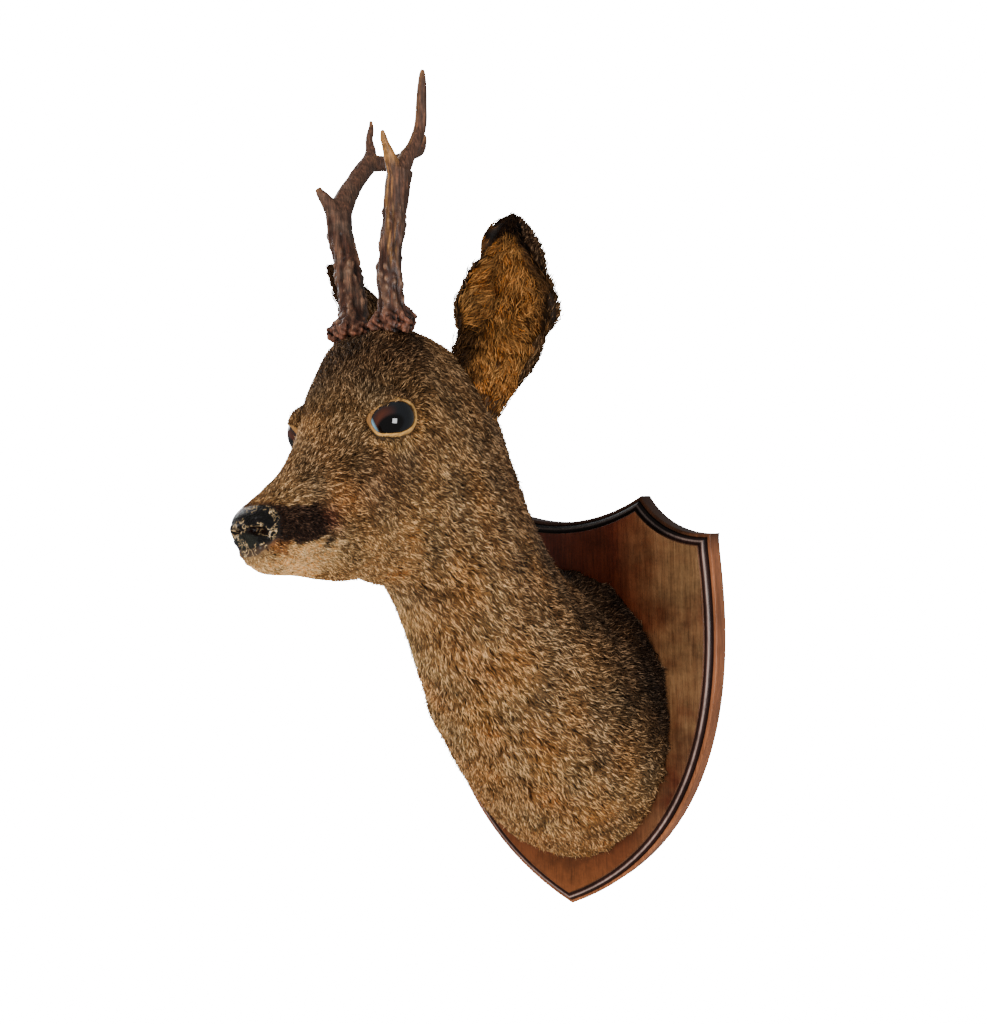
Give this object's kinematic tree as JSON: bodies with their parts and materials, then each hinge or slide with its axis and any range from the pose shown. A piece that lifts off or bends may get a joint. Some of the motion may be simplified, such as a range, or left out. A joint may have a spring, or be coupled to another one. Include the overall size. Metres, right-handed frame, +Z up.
{
  "type": "roe deer shoulder mount",
  "caption": "Life-size roe deer head and neck with branched antlers and upright cupped ears, rising forwards from a pointed wooden wall shield with a moulded edge.",
  "frame": {"origin": "middle of the shield's flat back, half way between the shield's highest points and its foot", "axes": "+Z up the wall, +Y out of the shield's back into the wall, +X to the animal's left; the animal looks towards -Y"},
  "size_m": [0.2838, 0.4284, 0.6554],
  "materials": {
    "shield": "varnished mahogany with a dark moulded edge, worn",
    "coat": "short flat speckled brown fur",
    "ear": "short fur outside, long golden hair inside, dark tip",
    "eye": "glossy, almost black",
    "antler": "dark reddish brown, ridged and pearled",
    "tine": "brown with paler polished tips"
  },
  "bodies": {
    "root": {"shield": "shield", "neck": "coat", "head": "coat", "ear_left": "ear", "ear_right": "ear", "eye_left": "eye", "eye_right": "eye", "antler_left_beam": "antler", "antler_left_top": "tine", "antler_left_front_tine": "tine", "antler_right_beam": "antler", "antler_right_upper": "tine", "antler_right_front_tine": "tine", "antler_right_top_tine": "tine", "antler_right_rear_tine": "tine"}
  },
  "joints": []
}
